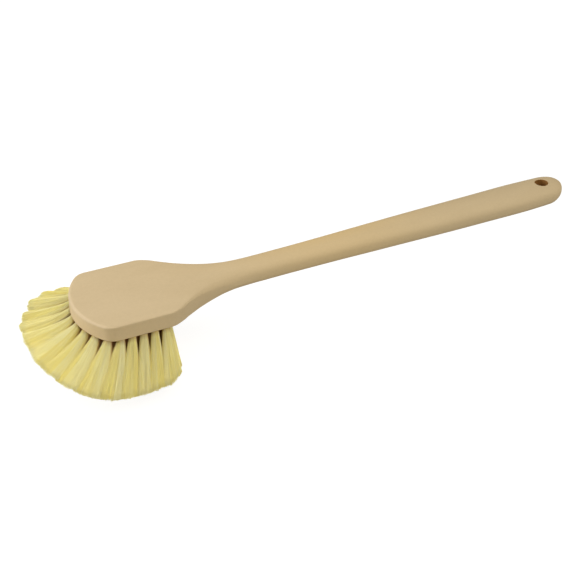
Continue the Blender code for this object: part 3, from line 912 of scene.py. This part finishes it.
def filament_plastic():
    """Cream filaments, milky enough for light to pass through: each has its own
    tone, with painted shade at its root, above all in the middle of the brush."""
    material, tree, shader = new_material("cream_filament")
    link = tree.links.new
    tone = node(tree, "ShaderNodeAttribute", attribute_name="tone")
    along = node(tree, "ShaderNodeAttribute", attribute_name="along")
    depth = node(tree, "ShaderNodeAttribute", attribute_name="depth")
    pale = node(tree, "ShaderNodeMix", data_type="RGBA")
    pale.inputs["A"].default_value = (0.900, 0.745, 0.185, 1)
    pale.inputs["B"].default_value = (0.975, 0.880, 0.385, 1)
    link(tone.outputs["Fac"], pale.inputs["Factor"])
    # Share of the unshaded tone: the painted shade gives way from the root out, later for the inner rows.
    outer = node(tree, "ShaderNodeMapRange")
    outer.inputs["From Min"].default_value = -0.02
    outer.inputs["From Max"].default_value = 0.14
    outer.inputs["To Min"].default_value = 0.35
    link(along.outputs["Fac"], outer.inputs["Value"])
    inner = node(tree, "ShaderNodeMapRange")
    inner.inputs["From Min"].default_value = 0.15
    inner.inputs["From Max"].default_value = 0.85
    link(along.outputs["Fac"], inner.inputs["Value"])
    reach = node(tree, "ShaderNodeMix", data_type="FLOAT")
    link(depth.outputs["Fac"], reach.inputs["Factor"])
    link(outer.outputs["Result"], reach.inputs["A"])
    link(inner.outputs["Result"], reach.inputs["B"])
    # Painted shade: a dark red-brown over the filaments' roots, the brush's middle rows and the outer bunches'
    # inner sides.
    painted_root_shade = node(tree, "ShaderNodeMix", data_type="RGBA")
    painted_root_shade.inputs["A"].default_value = (0.400, 0.080, 0.002, 1)
    link(reach.outputs["Result"], painted_root_shade.inputs["Factor"])
    link(pale.outputs["Result"], painted_root_shade.inputs["B"])
    link(painted_root_shade.outputs["Result"], shader.inputs["Base Color"])
    place = node(tree, "ShaderNodeTexCoord")
    wear = node(tree, "ShaderNodeTexNoise", Scale=300.0, Detail=2.0)
    link(place.outputs["Object"], wear.inputs["Vector"])
    rough = node(tree, "ShaderNodeMapRange")
    rough.inputs["To Min"].default_value = 0.42
    rough.inputs["To Max"].default_value = 0.58
    link(wear.outputs["Fac"], rough.inputs["Value"])
    link(rough.outputs["Result"], shader.inputs["Roughness"])
    shader.inputs["Specular IOR Level"].default_value = 0.10
    shader.inputs["Subsurface Weight"].default_value = 0.5
    shader.inputs["Subsurface Radius"].default_value = (1.0, 0.9, 0.6)
    shader.inputs["Subsurface Scale"].default_value = 0.0012
    return material


# ---- floor and light --------------------------------------------------------------------


def backdrop():
    """A plain pale dome behind everything, for the low angles. Neither it nor the
    floor throws light on the brush: the key and the fill do."""
    mesh = bmesh.new()
    bmesh.ops.create_uvsphere(mesh, u_segments=64, v_segments=32, radius=7.0)
    bmesh.ops.reverse_faces(mesh, faces=mesh.faces)
    data = bpy.data.meshes.new("backdrop")
    mesh.to_mesh(data)
    mesh.free()
    data.shade_smooth()
    obj = bpy.data.objects.new("backdrop", data)
    bpy.context.scene.collection.objects.link(obj)
    material, tree, shader = new_material("pale_backdrop")
    place = node(tree, "ShaderNodeTexCoord")
    soft = node(tree, "ShaderNodeTexNoise", Scale=0.4, Detail=1.0)
    tree.links.new(place.outputs["Object"], soft.inputs["Vector"])
    glow = node(tree, "ShaderNodeMapRange")
    glow.inputs["To Min"].default_value = 0.95
    glow.inputs["To Max"].default_value = 0.99
    tree.links.new(soft.outputs["Fac"], glow.inputs["Value"])
    shader.inputs["Base Color"].default_value = (0.0, 0.0, 0.0, 1)
    shader.inputs["Specular IOR Level"].default_value = 0.0
    shader.inputs["Emission Color"].default_value = (1.0, 1.0, 1.0, 1)
    tree.links.new(glow.outputs["Result"], shader.inputs["Emission Strength"])
    data.materials.append(material)
    only_seen(obj)
    obj.visible_shadow = False


def only_seen(obj):
    obj.visible_diffuse = False
    obj.visible_glossy = False
    obj.visible_transmission = False
    obj.visible_volume_scatter = False


def floor():
    """A plain pale floor, which glows a little so that shadows on it stay faint."""
    mesh = bmesh.new()
    bmesh.ops.create_circle(mesh, cap_ends=True, segments=96, radius=6.0)
    data = bpy.data.meshes.new("floor")
    mesh.to_mesh(data)
    mesh.free()
    obj = bpy.data.objects.new("floor", data)
    bpy.context.scene.collection.objects.link(obj)
    material, tree, shader = new_material("pale_floor")
    place = node(tree, "ShaderNodeTexCoord")
    soft = node(tree, "ShaderNodeTexNoise", Scale=3.0, Detail=2.0)
    tree.links.new(place.outputs["Object"], soft.inputs["Vector"])
    shade = node(tree, "ShaderNodeMapRange")
    shade.inputs["To Min"].default_value = 0.19
    shade.inputs["To Max"].default_value = 0.21
    tree.links.new(soft.outputs["Fac"], shade.inputs["Value"])
    tree.links.new(shade.outputs["Result"], shader.inputs["Base Color"])
    shader.inputs["Roughness"].default_value = 0.9
    shader.inputs["Specular IOR Level"].default_value = 0.0
    shader.inputs["Emission Color"].default_value = (1.0, 1.0, 1.0, 1)
    shader.inputs["Emission Strength"].default_value = FLOOR_GLOW
    data.materials.append(material)
    only_seen(obj)


FLOOR_GLOW = 0.90
KEY_POWER = 15.65
BRISTLE_POWER, BACK_POWER = 6.3, 6.0
FILL_FROM = (0.2682, -0.4646, 0.8440)  # unit direction towards the fill's middle
FILL, FILL_FALL, AMBIENT, FROM_BELOW = 2.394, 4.69, 0.027, 0.60


def area_light(name, direction, distance, size, power, colour=(1, 1, 1)):
    data = bpy.data.lights.new(name, "AREA")
    data.shape = "DISK"
    data.size = size
    data.energy = power
    data.color = colour
    obj = bpy.data.objects.new(name, data)
    bpy.context.scene.collection.objects.link(obj)
    d = Vector(direction).normalized()
    obj.location = Vector(to_row([50.0, 0.0, 0.0])) + d * distance
    obj.rotation_mode = "QUATERNION"
    obj.rotation_quaternion = d.to_track_quat("Z", "Y")
    obj.visible_camera = False
    return obj


def light():
    """A soft key from the block's far front, a wide fill from above the near side,
    which is a bright patch of the surroundings, and the pale floor's light from below."""
    world = bpy.data.worlds.new("studio")
    bpy.context.scene.world = world
    world.use_nodes = True
    tree = world.node_tree
    link = tree.links.new
    background = tree.nodes["Background"]
    place = node(tree, "ShaderNodeTexCoord")
    toward = node(tree, "ShaderNodeVectorMath", operation="DOT_PRODUCT")
    toward.inputs[1].default_value = FILL_FROM
    link(place.outputs["Generated"], toward.inputs[0])
    facing = node(tree, "ShaderNodeMath", operation="MAXIMUM")
    facing.inputs[1].default_value = 0.0
    link(toward.outputs["Value"], facing.inputs[0])
    lobe = node(tree, "ShaderNodeMath", operation="POWER")
    lobe.inputs[1].default_value = FILL_FALL
    link(facing.outputs["Value"], lobe.inputs[0])
    split = node(tree, "ShaderNodeSeparateXYZ")
    link(place.outputs["Generated"], split.inputs["Vector"])
    above = node(tree, "ShaderNodeMapRange")
    above.inputs["From Min"].default_value = -0.02
    above.inputs["From Max"].default_value = 0.02
    above.inputs["To Min"].default_value = 0.0
    above.inputs["To Max"].default_value = 1.0
    link(split.outputs["Z"], above.inputs["Value"])
    upper = node(tree, "ShaderNodeMath", operation="MULTIPLY_ADD")
    upper.inputs[1].default_value = FILL
    upper.inputs[2].default_value = AMBIENT
    link(lobe.outputs["Value"], upper.inputs[0])
    patch = node(tree, "ShaderNodeMix", data_type="FLOAT")
    patch.inputs["A"].default_value = FROM_BELOW
    link(above.outputs["Result"], patch.inputs["Factor"])
    link(upper.outputs["Value"], patch.inputs["B"])
    background.inputs["Color"].default_value = (1.0, 0.965, 0.86, 1)
    link(patch.outputs["Result"], background.inputs["Strength"])
    area_light("key", (-0.7994, 0.3881, 0.4587), 1.29, 1.17, KEY_POWER, (1.0, 1.0, 1.03))
    near = area_light("bristle_fill", (0.05, -0.94, 0.33), 1.6, 1.2, BRISTLE_POWER, (0.98, 1.0, 1.25))
    back = area_light("bristle_back_fill", (0.80, 0.55, 0.24), 1.6, 1.2, BACK_POWER, (1.0, 0.98, 0.9))
    lit = bpy.data.collections.new("lit_by_bristle_fill")
    for obj in bpy.context.scene.objects:
        if obj.name.startswith("bristles_"):
            lit.objects.link(obj)
    near.light_linking.receiver_collection = lit
    back.light_linking.receiver_collection = lit
    view = bpy.context.scene.view_settings
    view.view_transform = "Standard"
    view.look = "None"


# The frame's box has the handle's highest point, near its end, as its top.
def set_height():
    probe = np.linspace(440.0, HANDLE_END_X, 500)
    peak = float(np.max(oval_surface(probe, np.zeros_like(probe), 1)))
    SHIFT[2] = body_high.z / MM - peak


set_height()
print("shift", SHIFT)
camera()
TUFTS = tuft_layout()
body = moulding(foam_plastic(), TUFTS)
cream = filament_plastic()
for number, tuft in enumerate(TUFTS):
    bristles(tuft, number, cream)
floor()
backdrop()
light()
